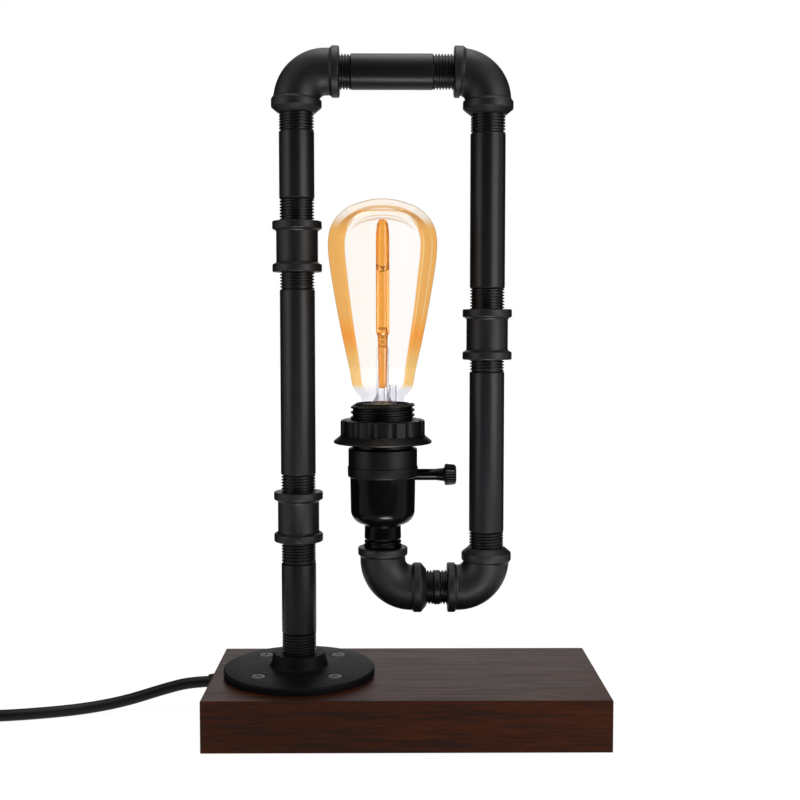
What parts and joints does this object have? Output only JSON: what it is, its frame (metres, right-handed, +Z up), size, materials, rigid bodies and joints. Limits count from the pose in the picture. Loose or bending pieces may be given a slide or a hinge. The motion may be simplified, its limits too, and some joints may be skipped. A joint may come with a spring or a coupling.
{
  "type": "pipe table lamp",
  "caption": "Table lamp of screwed black pipe and cast fittings on a dark wooden base, with a bare bulb in a switched lampholder inside the pipe loop.",
  "frame": {"origin": "on the table under the middle of the wooden base, at the foot pads' undersides", "axes": "+X along the base towards the free side of the pipe loop, +Y away from the front, +Z up"},
  "size_m": [0.4756, 0.1886, 0.4141],
  "materials": {
    "base_wood": "dark stain, open grain, satin lacquer",
    "cover_plastic": "matte black",
    "pad_rubber": "matte",
    "plated_steel": "zinc plated",
    "grommet_rubber": "matte",
    "clamp_plastic": "moulded",
    "cord_sheath": "matte sheath",
    "core_insulation": "wire insulation",
    "cast_fitting": "satin black paint on casting",
    "dark_steel": "oiled, countersunk cross heads",
    "pipe_paint": "satin black paint",
    "holder_plastic": "polished moulding",
    "porcelain": "unglazed",
    "brass": "nickel and brass",
    "switch_plastic": "moulded",
    "bulb_glass": "clear with an amber tint",
    "cap_metal": "plated, rolled thread",
    "black_glass": "vitreous",
    "solder": "tinned",
    "stem_glass": "clear",
    "filament_coat": "coated rods",
    "wire_metal": "drawn wire",
    "lead_brown": "wire insulation",
    "lead_blue": "wire insulation",
    "tie_plastic": "woven strap",
    "plug_rubber": "moulded"
  },
  "bodies": {
    "lamp": {"base_block": "base_wood", "bottom_cover": "cover_plastic", "foot_pads": "pad_rubber", "cover_screws": "plated_steel", "cord_grommet": "grommet_rubber", "cord_clamp": "clamp_plastic", "clamp_screws": "plated_steel", "cord_inside": "cord_sheath", "cord_cores": "core_insulation", "connector_block": "clamp_plastic", "connector_screws": "brass", "floor_flange": "cast_fitting", "flange_screws": "dark_steel", "stem_lower": "pipe_paint", "coupling_lower": "cast_fitting", "stem_middle": "pipe_paint", "coupling_upper": "cast_fitting", "stem_upper": "pipe_paint", "elbow_upper_left": "cast_fitting", "top_run": "pipe_paint", "elbow_upper_right": "cast_fitting", "drop_upper": "pipe_paint", "coupling_right": "cast_fitting", "drop_lower": "pipe_paint", "elbow_lower_right": "cast_fitting", "close_nipple": "pipe_paint", "elbow_lower_left": "cast_fitting", "reducing_bush": "pipe_paint", "threaded_tube": "plated_steel", "holder_cap": "holder_plastic", "holder_body": "holder_plastic", "contact_carrier": "porcelain", "screw_shell": "brass", "centre_contact": "brass", "switch_body": "switch_plastic", "terminal_screws": "brass", "live_lead": "lead_brown", "neutral_lead": "lead_blue", "power_cord": "cord_sheath", "cord_coil": "cord_sheath", "cord_tail": "cord_sheath", "cord_tie": "tie_plastic", "plug_body": "plug_rubber", "plug_pins": "brass"},
    "knob": {"switch_knob": "holder_plastic", "switch_shaft": "brass"},
    "shade_ring": {"shade_ring": "holder_plastic"},
    "bulb_foot": {"bulb_insulator": "black_glass", "bulb_tip": "solder"},
    "bulb": {"bulb_glass": "bulb_glass", "bulb_cap": "cap_metal", "bulb_stem": "stem_glass", "filaments": "filament_coat", "support_wires": "wire_metal"}
  },
  "joints": [
    {"name": "knob_turn", "type": "hinge", "parent": "lamp", "child": "knob", "pos_m": [-0.0141, 0, 0.1553], "axis": [1, 0, 0], "continuous": true},
    {"name": "ring_turn", "type": "hinge", "parent": "lamp", "child": "shade_ring", "pos_m": [-0.0141, 0, 0.182], "axis": [0, 0, 1], "range_deg": [0, 1080]},
    {"name": "bulb_lift", "type": "slide", "parent": "lamp", "child": "bulb_foot", "axis": [0, 0, 1], "range_m": [0, 0.01089]},
    {"name": "bulb_turn", "type": "hinge", "parent": "bulb_foot", "child": "bulb", "pos_m": [-0.0141, 0, 0.19], "axis": [0, 0, 1], "range_deg": [0, 1080]}
  ],
  "couplings": [
    {"joint": "bulb_turn", "follows": "bulb_lift", "rad_per_m": 1730.9}
  ]
}
